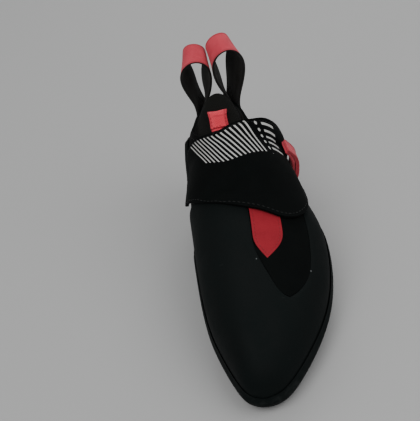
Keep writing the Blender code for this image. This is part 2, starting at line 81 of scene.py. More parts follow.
def placeCamera(s):
    az, el, turn = (math.radians(s[key]) for key in ("azimuth", "elevation", "roll"))
    back = Vector((math.sin(az) * math.cos(el), -math.cos(az) * math.cos(el), math.sin(el)))
    right = (-back).cross(Vector((0, 0, 1))).normalized()
    up = right.cross(-back)
    axisX = right * math.cos(turn) + up * math.sin(turn)
    axisY = up * math.cos(turn) - right * math.sin(turn)
    data = bpy.data.cameras.new("photoCamera")
    data.lens = s["lens"]
    data.sensor_width = 36
    data.sensor_fit = "HORIZONTAL"
    data.clip_start = 0.01
    camera = bpy.data.objects.new("photoCamera", data)
    camera.matrix_world = Matrix((axisX, axisY, back)).transposed().to_4x4()
    camera.location = s["cameraPlace"]
    bpy.context.scene.collection.objects.link(camera)
    bpy.context.scene.camera = camera


def placeLight(name, place, size, watts):
    data = bpy.data.lights.new(name, "AREA")
    data.shape = "DISK"
    data.size = size
    data.energy = watts
    light = bpy.data.objects.new(name, data)
    light.location = place
    light.rotation_euler = (-Vector(place)).to_track_quat("-Z", "Y").to_euler()  # towards the shoe
    bpy.context.scene.collection.objects.link(light)


def buildStudio(s):
    placeCamera(s)
    bm = bmesh.new()
    bmesh.ops.create_grid(bm, x_segments=1, y_segments=1, size=s["floorSize"] / 2)
    floor = newPiece("studioFloor", bm)
    material, tree, shader = newMaterial("floorPaper", 0.9)
    shader.inputs["Base Color"].default_value = (*s["floorColor"], 1)
    floor.data.materials.append(material)
    for light in s["lights"]:
        placeLight(*light)
    world = bpy.data.worlds.new("studioAir")
    world.use_nodes = True
    background = world.node_tree.nodes["Background"]
    background.inputs["Color"].default_value = (*s["airColor"], 1)
    background.inputs["Strength"].default_value = s["airStrength"]
    bpy.context.scene.world = world


buildStudio(studio)
print("studio built")


# finishes
def addNode(tree, kind, sockets=None, **fields):
    node = tree.nodes.new("ShaderNode" + kind)
    for field, value in fields.items():
        setattr(node, field, value)
    for socket, value in (sockets or {}).items():
        if isinstance(value, bpy.types.NodeSocket):
            tree.links.new(value, node.inputs[socket])
        else:
            node.inputs[socket].default_value = value
    return node


def calculate(tree, operation, a, b=0.0):
    return addNode(tree, "Math", {0: a, 1: b}, operation=operation).outputs[0]


def together(tree, *shares):
    total = shares[0]
    for share in shares[1:]:
        total = calculate(tree, "MULTIPLY", total, share)
    return total


def blendColors(tree, share, a, b):
    colors = [c if isinstance(c, bpy.types.NodeSocket) else (*c, 1) for c in (a, b)]
    return addNode(tree, "Mix", {0: share, 6: colors[0], 7: colors[1]}, data_type="RGBA").outputs[2]


def ownPlace(tree):
    return addNode(tree, "TexCoord").outputs["Object"]


def clothPlace(tree):
    # metres across and along the cloth, from the piece's own map
    return addNode(tree, "UVMap", uv_map="cloth").outputs[0]


def noise(tree, place, scale, detail=2.0, roughness=0.5):
    sockets = {"Vector": place, "Scale": scale, "Detail": detail, "Roughness": roughness}
    return addNode(tree, "TexNoise", sockets).outputs["Fac"]


def squeezed(tree, place, turn, scale):
    sockets = {"Vector": place, "Rotation": turn, "Scale": scale}
    return addNode(tree, "Mapping", sockets).outputs[0]


def between(tree, value, low, high, outLow=0.0, outHigh=1.0):
    sockets = {"Value": value, "From Min": low, "From Max": high, "To Min": outLow, "To Max": outHigh}
    return addNode(tree, "MapRange", sockets, interpolation_type="SMOOTHSTEP").outputs[0]


def within(tree, value, limit, soft):
    # 1 below the limit, 0 above
    return between(tree, value, limit - soft, limit + soft, 1.0, 0.0)


def band(tree, value, middle, half, soft):
    # 1 within half of the middle, 0 outside
    away = calculate(tree, "ABSOLUTE", calculate(tree, "SUBTRACT", value, middle))
    return within(tree, away, half, soft)


def emboss(tree, shader, layers):
    # layers of (height, depth in metres), the broadest first
    normal = None
    for height, depth in layers:
        sockets = {"Height": height, "Distance": depth, "Strength": 1.0}
        if normal:
            sockets["Normal"] = normal
        normal = addNode(tree, "Bump", sockets).outputs[0]
    tree.links.new(normal, shader.inputs["Normal"])


def specks(tree, place, marks):
    # light specks at given points: x, y, z, radius
    total = None
    for x, y, z, radius in marks:
        away = addNode(tree, "VectorMath", {0: place, 1: (x, y, z)}, operation="DISTANCE").outputs["Value"]
        mark = between(tree, away, radius * 0.6, radius, 1.0, 0.0)
        total = mark if total is None else calculate(tree, "MAXIMUM", total, mark)
    return total


def scratches(tree, place, s):
    # thin scratches, two ways across each other
    total = None
    for turn, scale, low, high in s["scratches"]:
        streaks = noise(tree, squeezed(tree, place, turn, scale), 1.0, 2.0)
        scratch = between(tree, streaks, low, high)
        total = scratch if total is None else calculate(tree, "MAXIMUM", total, scratch)
    return total


def makeRubber(name, s):
    material, tree, shader = newMaterial(name, 0.7)
    place = ownPlace(tree)
    cloud = noise(tree, place, s["cloud"], 4.0, 0.6)
    grain = noise(tree, place, s["grain"])
    pebble = noise(tree, place, s["pebble"], 1.0)
    worn = together(tree, scratches(tree, place, s), between(tree, cloud, *s["wornFrom"]))
    height = addNode(tree, "SeparateXYZ", {0: place}).outputs["Z"]
    nearFloor = between(tree, height, *s["dustHeight"], 1.0, 0.0)  # dust gathers on what touches the rock
    dustCloud = noise(tree, place, s["dustCloud"], 4.0, 0.65)
    dusty = together(tree, nearFloor, between(tree, dustCloud, *s["dustFrom"]))
    color = blendColors(tree, between(tree, cloud, *s["bloomFrom"]), s["color"], s["bloom"])
    color = blendColors(tree, together(tree, dusty, s["dustShare"]), color, s["dust"])
    color = blendColors(tree, together(tree, worn, s["scratchShare"]), color, s["dust"])
    if "marks" in s:
        mark = specks(tree, place, s["marks"])
        color = blendColors(tree, together(tree, mark, s["markShare"]), color, s["markColor"])
    tree.links.new(color, shader.inputs["Base Color"])
    matt = between(tree, cloud, 0.3, 0.7, *s["roughness"])
    roughness = calculate(tree, "ADD", matt, together(tree, worn, s["wornRoughness"]))
    tree.links.new(roughness, shader.inputs["Roughness"])
    shader.inputs["Specular IOR Level"].default_value = s["specular"]
    emboss(tree, shader, zip((cloud, pebble, grain, worn), s["depths"]))
    return material


def printShape(tree, s):
    # a generic decoration: a block of slanted bars, a column of dots, and a block of lengthwise bars
    split = addNode(tree, "SeparateXYZ", {0: clothPlace(tree)})
    across, along = split.outputs["X"], split.outputs["Y"]
    lean = together(tree, calculate(tree, "SUBTRACT", across, s["pivot"]), s["slope"])
    slanted = calculate(tree, "SUBTRACT", along, lean)
    total = None
    for lengthwise, middle, half, acrossMiddle, acrossHalf in s["blocks"]:
        way, start = (across, acrossMiddle) if lengthwise else (slanted, middle)
        wave = calculate(tree, "PINGPONG", calculate(tree, "SUBTRACT", way, start), s["pitch"] / 2)
        bar = within(tree, wave, s["bar"] / 2, s["edge"])
        field = band(tree, slanted, middle, half, s["edge"]), band(tree, across, acrossMiddle, acrossHalf, s["edge"])
        block = together(tree, bar, *field)
        total = block if total is None else calculate(tree, "MAXIMUM", total, block)
    middle, acrossMiddle, acrossHalf, radius = s["dots"]
    row = calculate(tree, "PINGPONG", calculate(tree, "SUBTRACT", across, acrossMiddle), s["dotPitch"] / 2)
    aside = calculate(tree, "SUBTRACT", slanted, middle)
    squares = calculate(tree, "ADD", together(tree, row, row), together(tree, aside, aside))
    dot = within(tree, calculate(tree, "SQRT", squares), radius, s["edge"])
    dots = together(tree, dot, band(tree, across, acrossMiddle, acrossHalf, s["edge"]))
    return calculate(tree, "MAXIMUM", total, dots)


def addTape(tree, color, s):
    # a binding tape along the rim, set off by a groove that is only painted shade: a dark line with no depth
    away = addNode(tree, "Attribute", attribute_name="rimAway").outputs["Fac"]
    tape = within(tree, away, s["width"], s["edge"])
    groove = band(tree, away, s["width"] + s["grooveOff"], s["edge"], s["edge"])
    ribs = calculate(tree, "SINE", together(tree, away, 2 * math.pi / s["rib"]))
    color = blendColors(tree, together(tree, tape, s["share"]), color, s["color"])
    color = blendColors(tree, together(tree, groove, s["grooveShadeShare"]), color, s["grooveShadeColor"])
    return color, [(tape, s["depth"]), (together(tree, tape, ribs), s["ribDepth"])]


def addPrint(tree, place, color, s):
    # slightly cracked ink on the cloth
    ink = printShape(tree, s)
    cracks = between(tree, noise(tree, place, s["cracks"], 4.0, 0.75), *s["crackFrom"], 1.0, s["crackInk"])
    inkColor = blendColors(tree, noise(tree, place, s["cloud"]), s["color"], s["dull"])
    return blendColors(tree, together(tree, ink, cracks), color, inkColor), [(ink, s["depth"])]


def makeMicrofibre(name, s):
    material, tree, shader = newMaterial(name, 0.85)
    place = ownPlace(tree)
    brushed = noise(tree, place, s["brush"], 3.0, 0.6)
    nap = noise(tree, place, s["nap"], 3.0, 0.7)
    hair = noise(tree, squeezed(tree, place, s["hairTurn"], s["hair"]), 1.0, 2.0)
    color = blendColors(tree, between(tree, brushed, 0.3, 0.7), s["color"], s["brushed"])
    color = blendColors(tree, between(tree, nap, *s["napFrom"], 0.0, s["napShare"]), color, s["napTip"])
    layers = list(zip((brushed, hair, nap), s["depths"]))
    if "tape" in s:
        color, more = addTape(tree, color, s["tape"])
        layers += more
    if "print" in s:
        color, more = addPrint(tree, place, color, s["print"])
        layers += more
    tree.links.new(color, shader.inputs["Base Color"])
    tree.links.new(between(tree, nap, 0.3, 0.7, *s["roughness"]), shader.inputs["Roughness"])
    shader.inputs["Specular IOR Level"].default_value = s["specular"]
    shader.inputs["Sheen Weight"].default_value = s["sheen"]
    shader.inputs["Sheen Roughness"].default_value = 0.45
    emboss(tree, shader, layers)
    return material


def makeKnit(name, s):
    # rows of small holes on the slant
    material, tree, shader = newMaterial(name, 0.9)
    turned = squeezed(tree, clothPlace(tree), (0, 0, math.radians(45)), (1, 1, 1))
    sockets = {"Vector": turned, "Scale": 1 / s["pitch"], "Randomness": s["uneven"]}
    holes = addNode(tree, "TexVoronoi", sockets, voronoi_dimensions="2D")
    hole = between(tree, holes.outputs["Distance"], *s["holeRim"], 1.0, 0.0)
    fluff = noise(tree, ownPlace(tree), s["fluff"], 3.0, 0.7)
    color = blendColors(tree, fluff, s["color"], s["yarnTip"])
    color = blendColors(tree, hole, color, s["hole"])
    tree.links.new(color, shader.inputs["Base Color"])
    shader.inputs["Specular IOR Level"].default_value = s["specular"]
    shader.inputs["Sheen Weight"].default_value = s["sheen"]
    emboss(tree, shader, ((hole, -s["depth"]), (fluff, s["fluffDepth"])))
    return material


def makeWebbing(name, s):
    # herringbone: ribs that change their slant every few threads, with a firm edge on both sides
    material, tree, shader = newMaterial(name, 0.75)
    split = addNode(tree, "SeparateXYZ", {0: clothPlace(tree)})
    across, along = split.outputs["X"], split.outputs["Y"]
    zigzag = calculate(tree, "PINGPONG", across, s["chevron"])
    turn = together(tree, calculate(tree, "ADD", along, zigzag), 2 * math.pi / s["rib"])
    rib = between(tree, calculate(tree, "SINE", turn), -1.0, 0.6)
    thread = calculate(tree, "SINE", together(tree, across, 2 * math.pi / s["thread"]))
    thread = between(tree, thread, -1.0, 1.0)
    half = s["width"] / 2
    aside = calculate(tree, "ABSOLUTE", calculate(tree, "SUBTRACT", across, half))
    edge = between(tree, aside, half - 2 * s["edge"], half - s["edge"])
    place = ownPlace(tree)
    fade = noise(tree, place, s["fade"], 3.0, 0.6)
    fluff = noise(tree, place, s["fluff"])
    color = blendColors(tree, between(tree, fade, 0.3, 0.7), s["color"], s["faded"])
    # painted shade: the colour darkens in the valleys between the ribs
    valley = calculate(tree, "SUBTRACT", 1.0, rib)
    color = blendColors(tree, together(tree, valley, s["valleyShadeShare"]), color, s["valley"])
    # the selvedge on each side is woven darker, in the same colour as the painted valley shade
    color = blendColors(tree, together(tree, edge, s["edgeShare"]), color, s["valley"])
    tree.links.new(color, shader.inputs["Base Color"])
    tree.links.new(between(tree, fluff, 0.3, 0.7, *s["roughness"]), shader.inputs["Roughness"])
    shader.inputs["Specular IOR Level"].default_value = s["specular"]
    shader.inputs["Sheen Weight"].default_value = s["sheen"]
    emboss(tree, shader, zip((edge, rib, thread, fluff), s["depths"]))
    return material


def makeThread(name, s):
    material, tree, shader = newMaterial(name, 0.6)
    twist = noise(tree, ownPlace(tree), s["twist"], 1.0)
    tree.links.new(blendColors(tree, twist, s["color"], s["tip"]), shader.inputs["Base Color"])
    shader.inputs["Specular IOR Level"].default_value = s["specular"]
    emboss(tree, shader, ((twist, s["depth"]),))
    return material


# noise scales are per metre and depths in metres; From gives where in the noise a thing begins and is full
rubberLook = {
    "color": (0.0013, 0.0027, 0.0026), "bloom": (0.0021, 0.0040, 0.0039),
    "dust": (0.04, 0.043, 0.042), "dustShare": 0.30, "dustCloud": 210, "dustHeight": (0.003, 0.022),
    "bloomFrom": (0.35, 0.70), "dustFrom": (0.42, 0.72), "wornFrom": (0.45, 0.62),
    "scratchShare": 0.18, "wornRoughness": 0.1,
    # turn, scale, threshold from and to
    "scratches": (((0.5, 0.2, 0.9), (60, 900, 300), 0.70, 0.78), ((0.1, 0.7, -0.6), (700, 50, 400), 0.72, 0.80)),
    "roughness": (0.66, 0.82), "specular": 0.11,
    "cloud": 38, "pebble": 900, "grain": 2600,
    "depths": (0.0004, 0.00006, 0.00005, -0.00005),  # cloud, pebble, grain, scratches
}
speckledLook = {
    **rubberLook,
    "marks": ((-0.0030, -0.0465, 0.0584, 0.0005), (0.0273, -0.0491, 0.0439, 0.0006)),
    "markColor": (0.12, 0.13, 0.13), "markShare": 0.8,
}
fibreLook = {
    "color": (0.0009, 0.0014, 0.0013), "brushed": (0.0015, 0.0022, 0.0021), "napTip": (0.0032, 0.0042, 0.0040),
    "roughness": (0.82, 0.96), "specular": 0.07, "sheen": 0.006,
    "napFrom": (0.35, 0.75), "napShare": 0.5,
    "brush": 55, "nap": 1900, "hair": (2600, 700, 1500), "hairTurn": (0.3, 0.1, 0.5),
    "depths": (0.0003, 0.00006, 0.00006),  # brushed cloud, hair, nap
}
redFibreLook = {
    **fibreLook,
    "color": (0.225, 0.010, 0.018), "brushed": (0.27, 0.013, 0.022), "napTip": (0.32, 0.026, 0.036),
    "roughness": (0.72, 0.9), "specular": 0.12, "sheen": 0.02,
    "depths": (0.0003, 0.00006, 0.00004),
}
collarTape = {
    "width": 0.0052, "edge": 0.0003, "grooveOff": 0.0004, "rib": 0.0008,
    "color": (0.0022, 0.0024, 0.0023), "share": 0.8,
    # painted shade: the dark line of the groove beside the tape
    "grooveShadeColor": (0.0004, 0.0004, 0.0004), "grooveShadeShare": 0.6,
    "depth": 0.0005, "ribDepth": 0.00004,
}
strapPrint = {
    "color": (0.52, 0.52, 0.50), "dull": (0.42, 0.42, 0.40), "cloud": 160,
    "cracks": 1500, "crackFrom": (0.60, 0.74), "crackInk": 0.45,
    "pitch": 0.0032, "bar": 0.0011, "dotPitch": 0.0034, "edge": 0.00008, "depth": 0.00008,
    "slope": -0.75, "pivot": 0.0375,  # both blocks and the dots lean alike
    # lengthwise or not, middle and half length along the strap, middle and half width across it
    "blocks": ((False, 0.0655, 0.0245, 0.0375, 0.0095), (True, 0.1040, 0.0062, 0.0370, 0.0086)),
    "dots": (0.0938, 0.0370, 0.0095, 0.00085),  # place along the strap, middle and half width, radius
}
liningLook = {
    "color": (0.0045, 0.0045, 0.0042), "yarnTip": (0.011, 0.011, 0.010), "hole": (0.001, 0.001, 0.001),
    "holeRim": (0.20, 0.34), "uneven": 0.12,  # shares of the pitch
    "pitch": 0.0014, "depth": 0.0002, "fluff": 2400, "fluffDepth": 0.00005, "specular": 0.15, "sheen": 0.05,
}
sockLook = {
    **liningLook,
    "color": (0.0036, 0.0037, 0.0030), "yarnTip": (0.0068, 0.0070, 0.0058), "hole": (0.0015, 0.0015, 0.0012),
    "pitch": 0.0009, "depth": 0.00012, "sheen": 0.015,
}
redWebbingLook = {
    # the valley colour is painted shade for the rib valleys, and it also colours the darker selvedge
    "color": (0.58, 0.034, 0.060), "faded": (0.70, 0.060, 0.090), "valley": (0.22, 0.008, 0.016),
    "valleyShadeShare": 0.55, "edgeShare": 0.45, "roughness": (0.62, 0.85),
    "rib": 0.0011, "chevron": 0.0026, "thread": 0.0005, "edge": 0.0007, "fade": 90, "fluff": 3000,
    "specular": 0.3, "sheen": 0.1,
    "depths": (0.00012, 0.00014, 0.00004, 0.00003),  # edge, ribs, threads, fluff
}
# painted light: a brighter copy of the red webbing, used for the tongue tab
litWebbingLook = {**redWebbingLook, "color": (0.92, 0.050, 0.080), "faded": (0.96, 0.075, 0.112)}
blackWebbingLook = {
    **redWebbingLook,
    # its valley colour is painted shade too
    "color": (0.012, 0.0102, 0.0092), "faded": (0.018, 0.016, 0.014), "valley": (0.002, 0.002, 0.002),
    "specular": 0.2, "sheen": 0.04,
}
blackThreadLook = {
    "color": (0.0030, 0.0036, 0.0036), "tip": (0.0075, 0.0082, 0.0082),
    "twist": 5200, "depth": 0.00004, "specular": 0.3,
}
redThreadLook = {**blackThreadLook, "color": (0.17, 0.008, 0.013), "tip": (0.27, 0.018, 0.025)}
tabWidth, loopWidth = 0.0128, 0.0155  # of the webbing

rubber = makeRubber("mattRubber", rubberLook)
patchRubber = makeRubber("patchRubber", speckledLook)
blackFibre = makeMicrofibre("blackMicrofibre", fibreLook)
upperFibre = makeMicrofibre("upperMicrofibre", {**fibreLook, "tape": collarTape})
redFibre = makeMicrofibre("redMicrofibre", redFibreLook)
knit = makeKnit("liningKnit", liningLook)
sock = makeKnit("sockKnit", sockLook)
blackThread = makeThread("blackThread", blackThreadLook)
redThread = makeThread("redThread", redThreadLook)
printedFibre = makeMicrofibre("printedMicrofibre", {**fibreLook, "print": strapPrint})
strapTabWebbing = makeWebbing("redWebbingStrapTab", {**redWebbingLook, "width": tabWidth})
tongueTabWebbing = makeWebbing("redWebbingTongueTab", {**litWebbingLook, "width": tabWidth})
redLoopWebbing = makeWebbing("redWebbingLoop", {**redWebbingLook, "width": loopWidth})
blackLoopWebbing = makeWebbing("blackWebbingLoop", {**blackWebbingLook, "width": loopWidth})
print("finishes made")

# layers of the shoe, each made from a copy of its fixed node
outerFace, innerFace, rimFace = 0, 1, 2
layerRules = {
    "mergeDistance": 2e-6,
    "rimAngle": math.radians(48),  # a wall's rim meets its faces more sharply than this
    "flatAngle": 0.0009,  # radians, between triangles of one flat face
    "strayShare": 0.2,  # a row with a smaller share of the usual number of corners isn't one
    "shortestRim": 12,  # corners
}


def floodRegions(bm):
    # faces that smooth edges join, the largest region first
    regions = []
    left = set(bm.faces)
    while left:
        region = []
        wave = [left.pop()]
        while wave:
            face = wave.pop()
            region.append(face)
            for edge in face.edges:
                if edge.smooth:
                    for other in edge.link_faces:
                        if other in left:
                            left.remove(other)
                            wave.append(other)
        regions.append(region)
    return sorted(regions, key=lambda region: -sum(face.calc_area() for face in region))


def markRegions(bm):
    # a wall has an outer face, an inner face that is a little smaller, and the rims between them
    for edge in bm.edges:
        edge.smooth = edge.calc_face_angle(0) < layerRules["rimAngle"]
    regions = floodRegions(bm)
    marks = [outerFace, innerFace] + [rimFace] * (len(regions) - 2)
    for region, mark in zip(regions, marks):
        for face in region:
            face.material_index = mark


def cutLongFace(bm, face):
    # a flat face over several cells is cut between the corners that lie opposite each other
    corners = [loop.vert for loop in face.loops]
    bends = [loop.calc_angle() for loop in face.loops]
    count = len(corners)
    ends = sorted(sorted(range(count), key=lambda i: bends[i])[:4])
    sides = []
    for n in range(4):
        a, b = ends[n], ends[(n + 1) % 4]
        sides.append([corners[i % count] for i in range(a + 1, b if b > a else b + count)])
    for one, other in ((sides[0], sides[2]), (sides[1], sides[3])):
        if one and len(one) == len(other):
            for p, q in zip(one, reversed(other)):
                bmesh.ops.connect_verts(bm, verts=[p, q])
            return


def isFlat(edge):
    return edge.smooth and edge.is_manifold and edge.calc_face_angle(0) < layerRules["flatAngle"]


def restoreCells(bm):
    # the loose triangles become the cells that the wall was drawn with
    flat = [edge for edge in bm.edges if isFlat(edge)]
    bmesh.ops.dissolve_edges(bm, edges=flat, use_verts=False, use_face_split=False)
    for face in [face for face in bm.faces if len(face.verts) > 4]:
        cutLongFace(bm, face)
    rest = [face for face in bm.faces if len(face.verts) == 3]
    anyAngle = 2
    bmesh.ops.join_triangles(
        bm, faces=rest, cmp_sharp=True, topology_influence=2.0,
        angle_face_threshold=anyAngle, angle_shape_threshold=anyAngle,
    )
    bm.faces.index_update()


def unevenness(a, b):
    return abs(a - b) / max(a, b)


def skewness(face):
    # 0 for a rectangle
    corners = [loop.vert.co for loop in face.loops]
    sides = [corners[n] - corners[n - 1] for n in range(4)]
    turns = [abs(sides[n].normalized().dot(sides[n - 1].normalized())) for n in range(4)]
    lengths = [side.length for side in sides]
    return max(turns) + (unevenness(lengths[0], lengths[2]) + unevenness(lengths[1], lengths[3]))


def numberCorners(bm, faces):
    # rows and columns of a sheet of quads, counted from its squarest one over the squarer ones first
    left = {face: skewness(face) for face in faces if len(face.verts) == 4}
    first = min(left, key=lambda face: (round(left[face], 2), face.index))
    step = dict(zip(first.verts, ((0, 0), (1, 0), (1, 1), (0, 1))))
    del left[first]
    wave = [(0.0, 0, first)]
    while wave:
        face = heapq.heappop(wave)[2]
        corners = list(face.verts)
        for n in range(4):
            p, q, behind = corners[n], corners[n - 1], corners[(n + 1) % 4]
            onward = (step[p][0] - step[behind][0], step[p][1] - step[behind][1])
            for other in bm.edges.get((p, q)).link_faces:
                if other in left:
                    heapq.heappush(wave, (left.pop(other), other.index, other))
                    for corner in other.verts:
                        if corner not in step:
                            near = p if bm.edges.get((corner, p)) else q
                            step[corner] = (step[near][0] + onward[0], step[near][1] + onward[1])
    return step


def gatherStrays(step, axis):
    # a row that only a few stray corners claim joins the outermost full one
    members = {}
    for place in step.values():
        members[place[axis]] = members.get(place[axis], 0) + 1
    usual = sorted(members.values())[len(members) // 2]
    full = [i for i, count in members.items() if count > layerRules["strayShare"] * usual]
    for corner, place in step.items():
        kept = list(place)
        kept[axis] = min(max(place[axis], min(full)), max(full))
        step[corner] = tuple(kept)


def rowPlaces(faces, step, axis):
    # the cloth's size along one axis, and how far each row lies along it
    widths = {}
    for edge in {edge for face in faces for edge in face.edges}:
        a, b = edge.verts
        if a in step and b in step:
            if abs(step[a][axis] - step[b][axis]) == 1 and step[a][1 - axis] == step[b][1 - axis]:
                widths.setdefault(min(step[a][axis], step[b][axis]), []).append(edge.calc_length())
    places, total, width = {}, 0.0, 0.0
    for i in range(min(widths), max(widths) + 1):
        places[i] = total
        found = widths.get(i)
        width = sum(found) / len(found) if found else width
        total += width
    places[max(widths) + 1] = total
    return total, places


def layCloth(bm, region):
    # a map in metres: each row and column is as wide as it is on average
    layer = bm.loops.layers.uv.get("cloth") or bm.loops.layers.uv.new("cloth")
    faces = [face for face in bm.faces if face.material_index == region]
    step = numberCorners(bm, faces)
    for axis in (0, 1):
        gatherStrays(step, axis)
    sizes, places = zip(*(rowPlaces(faces, step, axis) for axis in (0, 1)))
    order = (0, 1) if sizes[0] < sizes[1] else (1, 0)  # across first, then along
    center = sum((corner.co for corner in step), Vector()) / len(step)
    backwards = {}
    for axis in order:  # both run the way of x, y or z, whichever they follow most
        pull = Vector()
        for corner, place in step.items():
            pull += (corner.co - center) * (places[axis].get(place[axis], 0.0) - sizes[axis] / 2)
        backwards[axis] = max(pull, key=abs) < 0
    for face in faces:
        for loop in face.loops:
            if loop.vert in step:
                way = {axis: places[axis].get(step[loop.vert][axis], 0.0) for axis in order}
                loop[layer].uv = [sizes[axis] - way[axis] if backwards[axis] else way[axis] for axis in order]
    return [sizes[axis] for axis in order]


def bakeModifiers(piece):
    graph = bpy.context.evaluated_depsgraph_get()
    baked = bpy.data.meshes.new_from_object(piece.evaluated_get(graph))
    piece.modifiers.clear()
    old = piece.data
    piece.data = baked
    bpy.data.meshes.remove(old)
    baked.name = piece.name


def roundPiece(piece, levels):
    rounder = piece.modifiers.new("rounder", "SUBSURF")
    rounder.levels = levels
    rounder.render_levels = levels
    bakeModifiers(piece)


def bevelRims(piece, width):
    bm = bmesh.new()
    bm.from_mesh(piece.data)
    rims = [edge for edge in bm.edges if edge.calc_face_angle(0) > layerRules["rimAngle"]]
    bmesh.ops.bevel(
        bm, geom=rims, offset=width, offset_type="OFFSET", segments=2, profile=0.5,
        affect="EDGES", material=-1, clamp_overlap=True,
    )
    bm.to_mesh(piece.data)
    bm.free()


def nodeLayer(name, s):
    bm = bmesh.new()
    bm.from_mesh(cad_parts[s["node"]].data)
    bmesh.ops.remove_doubles(bm, verts=bm.verts[:], dist=layerRules["mergeDistance"])
    bm.normal_update()
    markRegions(bm)
    restoreCells(bm)
    sizes = [layCloth(bm, region) for region in (outerFace, innerFace)]
    if "reshape" in s:
        s["reshape"](bm, s)
    crease = bm.edges.layers.float.new("crease_edge")
    for edge in bm.edges:
        if not edge.smooth:
            edge[crease] = 1.0
    piece = newPiece(name, bm)
    for finish in s["finish"]:  # outer face, inner face, rim
        piece.data.materials.append(finish)
    roundPiece(piece, s["levels"])
    if "rimBevel" in s:
        bevelRims(piece, s["rimBevel"])
    if "skive" in s:
        skiveRims(piece, *s["skive"])
    piece.data.shade_smooth()
    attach(piece, "root")
    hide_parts(s["node"])
    cloths = [tuple(round(side * 1000) for side in size) for size in sizes]
    print(name, len(piece.data.polygons), "faces, cloth", cloths, "mm")
    return piece


# shaping, before and after the rounding
def smooth(value):
    value = min(max(value, 0.0), 1.0)
    return value * value * (3 - 2 * value)


def raiseTop(bm, s):
    # everything above a height moves on, more so the higher it is
    top = max(corner.co.z for corner in bm.verts)
    raised = Vector(s["raised"])
    for corner in bm.verts:
        corner.co += raised * smooth((corner.co.z - s["from"]) / (top - s["from"]))


def straighten(bm, s):
    # the tab's flare goes: its width shrinks from its seat to its top
    low = min(corner.co.z for corner in bm.verts)
    high = max(corner.co.z for corner in bm.verts)
    for corner in bm.verts:
        rise = (corner.co.z - low) / (high - low)
        share = s["widthLow"] + (s["widthHigh"] - s["widthLow"]) * rise
        corner.co.x = s["middle"] + (corner.co.x - s["middle"]) * share


def windCloth(bm, own, s):
    # the weave runs up one leg, round the arch and down the other
    layer = bm.loops.layers.uv["cloth"]
    for face in bm.faces:
        for loop in face.loops:
            across, forward, rise = own @ (loop.vert.co - Vector(s["middle"]))
            above = max(rise - s["archBase"], 0)
            below = max(s["archBase"] - rise, 0)
            way = s["archRadius"] * math.atan2(abs(across), above) + below
            loop[layer].uv = (forward + loopWidth / 2, s["legLength"] + math.copysign(way, across))


def turnLegs(bm, s):
    # both legs of a pull loop turn about their front edge, so that their black inside shows
    out, front, up = (Vector(s[key]) for key in ("out", "front", "up"))
    own = Matrix((out, front, up)).transposed().inverted()
    windCloth(bm, own, s)
    for corner in bm.verts:
        across, forward, rise = own @ (corner.co - Vector(s["middle"]))
        behind = loopWidth / 2 - forward
        aboveSeat = corner.co.z - s["seat"]
        share = max(-1, min(1, across / s["spread"])) * smooth(aboveSeat / s["turnEasing"])
        share *= 1 - smooth((rise - s["archLow"]) / s["archEasing"])
        if across < 0:  # the inner leg stands a little further out
            widened = min(1, -across / s["spread"]) * smooth(aboveSeat / s["widenEasing"])
            corner.co -= out * s["widen"] * widened
        angle = math.radians(s["turn"]) * share
        corner.co += front * (1 - math.cos(angle)) * behind - out * math.sin(angle) * behind


def verticesOf(mesh, regions):
    return sorted({i for polygon in mesh.polygons if polygon.material_index in regions for i in polygon.vertices})


def faceTree(mesh, *regions):
    faces = [tuple(polygon.vertices) for polygon in mesh.polygons if polygon.material_index in regions]
    return BVHTree.FromPolygons([vertex.co for vertex in mesh.vertices], faces)


def pointTree(points):
    tree = KDTree(len(points))
    for n, point in enumerate(points):
        tree.insert(point, n)
    tree.balance()
    return tree


def skiveRims(piece, reach, left):
    # the outer face runs down to a thin edge: left is the share of its thickness at the rim
    mesh = piece.data
    under = faceTree(mesh, innerFace)
    near = pointTree([mesh.vertices[i].co for i in verticesOf(mesh, (rimFace,))])
    moves = []
    for i in verticesOf(mesh, (outerFace, rimFace)):
        place = mesh.vertices[i].co
        away = near.find(place)[2]
        if away < reach:
            below = under.find_nearest(place)[0]
            moves.append((i, below.lerp(place, left + (1 - left) * smooth(away / reach))))
    for i, place in moves:
        mesh.vertices[i].co = place


def closeGap(piece, s):
    # two layers of webbing lie on each other: their facing sides move to the middle
    mesh = piece.data
    tree = faceTree(mesh, outerFace, innerFace, rimFace)
    moves = []
    for i in verticesOf(mesh, (outerFace, innerFace, rimFace)):
        vertex = mesh.vertices[i]
        start = vertex.co + vertex.normal * s["gapStart"]
        spot, normal, n, away = tree.ray_cast(start, vertex.normal, s["gapLimit"])
        if spot and away > 2 * s["gapStart"]:
            moves.append((i, vertex.co.lerp(spot, s["gapShare"])))
    for i, place in moves:
        mesh.vertices[i].co = place


def paintFootShade(piece, s):
    # painted shade: the red outer face at the sewn foot of the loop's inner leg takes the black inside finish, so it
    # shows no red
    for polygon in piece.data.polygons:
        inFoot = polygon.center.x < s["footSide"] and polygon.center.z < s["footTop"]
        if inFoot and polygon.material_index == outerFace:
            polygon.material_index = innerFace


foldRules = {
    "samples": 12,  # along each part of a line
    "reach": 3,  # half widths
    "endPart": 0.25, "endDepth": 0.25,  # a fold fades over this part of it at each end, to this share of its depth
}


